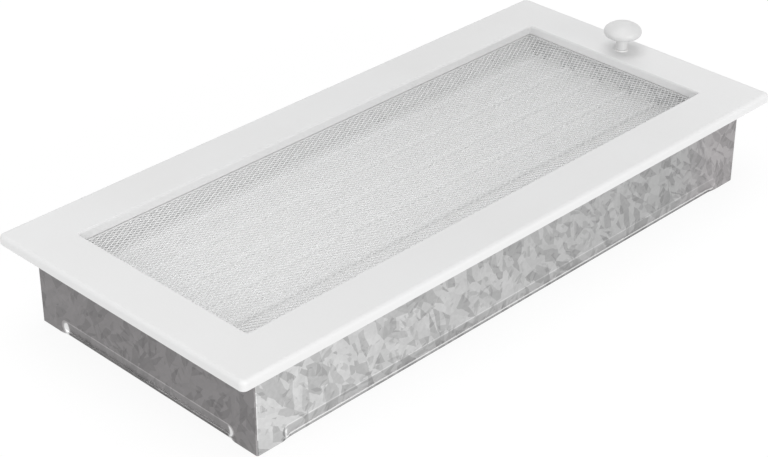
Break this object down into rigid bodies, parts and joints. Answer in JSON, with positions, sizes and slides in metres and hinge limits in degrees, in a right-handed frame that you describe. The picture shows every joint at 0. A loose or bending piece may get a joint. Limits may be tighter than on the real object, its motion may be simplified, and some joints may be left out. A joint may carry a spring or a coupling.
{
  "type": "fireplace vent grille",
  "caption": "Rectangular fireplace vent grille: galvanised wall sleeve, white face with fine expanded mesh, and a louvre turned by a small knob.",
  "frame": {"origin": "middle of the grille in plan, at the bottom edge of the wall sleeve", "axes": "+X along the long side towards the knob, +Y along the short side, +Z out of the face"},
  "size_m": [0.37, 0.17, 0.0665],
  "materials": {
    "white_paint": "white powder coat, satin",
    "mesh_paint": "white powder coat, satin",
    "slat_paint": "white paint, satin",
    "galvanised": "hot-dip galvanised sheet with large spangle",
    "housing_steel": "galvanised sheet",
    "zinc": "bright zinc plate",
    "rivet": "satin",
    "spring_steel": "oiled spring steel",
    "nylon": "satin",
    "knob_plastic": "satin white moulding"
  },
  "bodies": {
    "sleeve": {"sleeve_frame": "galvanised", "seam_rivets": "rivet"},
    "grille": {"front_panel": "white_paint", "panel_studs": "zinc", "stud_washers": "zinc", "stud_nuts": "zinc", "mesh_screen": "mesh_paint", "louvre_housing": "housing_steel", "spring_clip_1": "spring_steel", "spring_clip_2": "spring_steel", "spring_clip_3": "spring_steel", "spring_clip_4": "spring_steel", "clip_rivets": "rivet", "spindle_bush": "nylon"},
    "knob": {"knob": "knob_plastic", "knob_spindle": "zinc", "spindle_washer": "spring_steel", "lever_arm": "zinc", "lever_pin": "zinc"},
    "slat_1": {"slat_1": "slat_paint", "slat_rod_1": "zinc", "crank_1": "zinc"},
    "slat_2": {"slat_2": "slat_paint", "slat_rod_2": "zinc", "crank_2": "zinc"},
    "slat_3": {"slat_3": "slat_paint", "slat_rod_3": "zinc", "crank_3": "zinc"},
    "slat_4": {"slat_4": "slat_paint", "slat_rod_4": "zinc", "crank_4": "zinc"},
    "slat_5": {"slat_5": "slat_paint", "slat_rod_5": "zinc", "crank_5": "zinc"},
    "slat_6": {"slat_6": "slat_paint", "slat_rod_6": "zinc", "crank_6": "zinc"},
    "link_bar": {"link_bar": "zinc"}
  },
  "joints": [
    {"name": "grille_lift", "type": "slide", "parent": "sleeve", "child": "grille", "axis": [0, 0, 1], "range_m": [0, 0.06]},
    {"name": "knob_turn", "type": "hinge", "parent": "grille", "child": "knob", "pos_m": [0.1706, 0.003, 0.0502], "axis": [0, 0, 1], "range_deg": [0, 90]},
    {"name": "slat_1_turn", "type": "hinge", "parent": "grille", "child": "slat_1", "pos_m": [0, -0.0505, 0.0326], "axis": [1, 0, 0], "range_deg": [0, 90]},
    {"name": "slat_2_turn", "type": "hinge", "parent": "grille", "child": "slat_2", "pos_m": [0, -0.0303, 0.0326], "axis": [1, 0, 0], "range_deg": [0, 90]},
    {"name": "slat_3_turn", "type": "hinge", "parent": "grille", "child": "slat_3", "pos_m": [0, -0.0101, 0.0326], "axis": [1, 0, 0], "range_deg": [0, 90]},
    {"name": "slat_4_turn", "type": "hinge", "parent": "grille", "child": "slat_4", "pos_m": [0, 0.0101, 0.0326], "axis": [1, 0, 0], "range_deg": [0, 90]},
    {"name": "slat_5_turn", "type": "hinge", "parent": "grille", "child": "slat_5", "pos_m": [0, 0.0303, 0.0326], "axis": [1, 0, 0], "range_deg": [0, 90]},
    {"name": "slat_6_turn", "type": "hinge", "parent": "grille", "child": "slat_6", "pos_m": [0, 0.0505, 0.0326], "axis": [1, 0, 0], "range_deg": [0, 90]},
    {"name": "link_swing", "type": "hinge", "parent": "slat_4", "child": "link_bar", "pos_m": [0.1608, 0.01505, 0.03755], "axis": [1, 0, 0], "range_deg": [-90, 0]}
  ],
  "couplings": [
    {"joint": "slat_1_turn", "follows": "knob_turn", "ratio": 1},
    {"joint": "slat_2_turn", "follows": "knob_turn", "ratio": 1},
    {"joint": "slat_3_turn", "follows": "knob_turn", "ratio": 1},
    {"joint": "slat_4_turn", "follows": "knob_turn", "ratio": 1},
    {"joint": "slat_5_turn", "follows": "knob_turn", "ratio": 1},
    {"joint": "slat_6_turn", "follows": "knob_turn", "ratio": 1},
    {"joint": "link_swing", "follows": "knob_turn", "ratio": -1}
  ]
}
